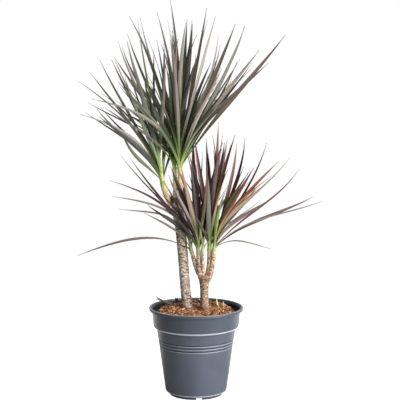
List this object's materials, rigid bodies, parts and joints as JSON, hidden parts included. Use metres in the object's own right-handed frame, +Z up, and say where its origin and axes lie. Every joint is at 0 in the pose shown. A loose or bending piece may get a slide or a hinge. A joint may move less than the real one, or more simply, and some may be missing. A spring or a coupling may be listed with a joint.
{
  "type": "potted dragon tree",
  "caption": "Potted dragon tree: a tall and a short cane stem, each ending in slim shoots with fanned heads of long narrow leaves, in a round tapered grower's pot filled with coir.",
  "frame": {"origin": "middle of the pot's flat underside, on the plane the pot stands on", "axes": "+Z up along the pot's axis, -Y towards the front the picture shows, +X to the right of that front"},
  "size_m": [0.435, 0.272, 0.708],
  "materials": {
    "pot_plastic": "satin",
    "coir": "matte",
    "bark": "matte",
    "shoot_bark": "satin",
    "upper_leaves": "satin",
    "lower_leaves": "satin"
  },
  "bodies": {
    "root": {"pot": "pot_plastic", "coir": "coir", "tall_cane": "bark", "short_cane": "bark", "upper_left_shoot": "shoot_bark", "upper_middle_shoot": "shoot_bark", "upper_right_shoot": "shoot_bark", "lower_left_shoot": "shoot_bark", "lower_far_left_shoot": "shoot_bark", "lower_middle_shoot": "shoot_bark", "lower_right_shoot": "shoot_bark", "lower_far_right_shoot": "shoot_bark", "upper_left_leaves": "upper_leaves", "upper_middle_leaves": "upper_leaves", "upper_right_leaves": "upper_leaves", "lower_far_left_leaves": "lower_leaves", "lower_left_leaves": "lower_leaves", "lower_middle_leaves": "lower_leaves", "lower_right_leaves": "lower_leaves", "lower_far_right_leaves": "lower_leaves"}
  },
  "joints": []
}
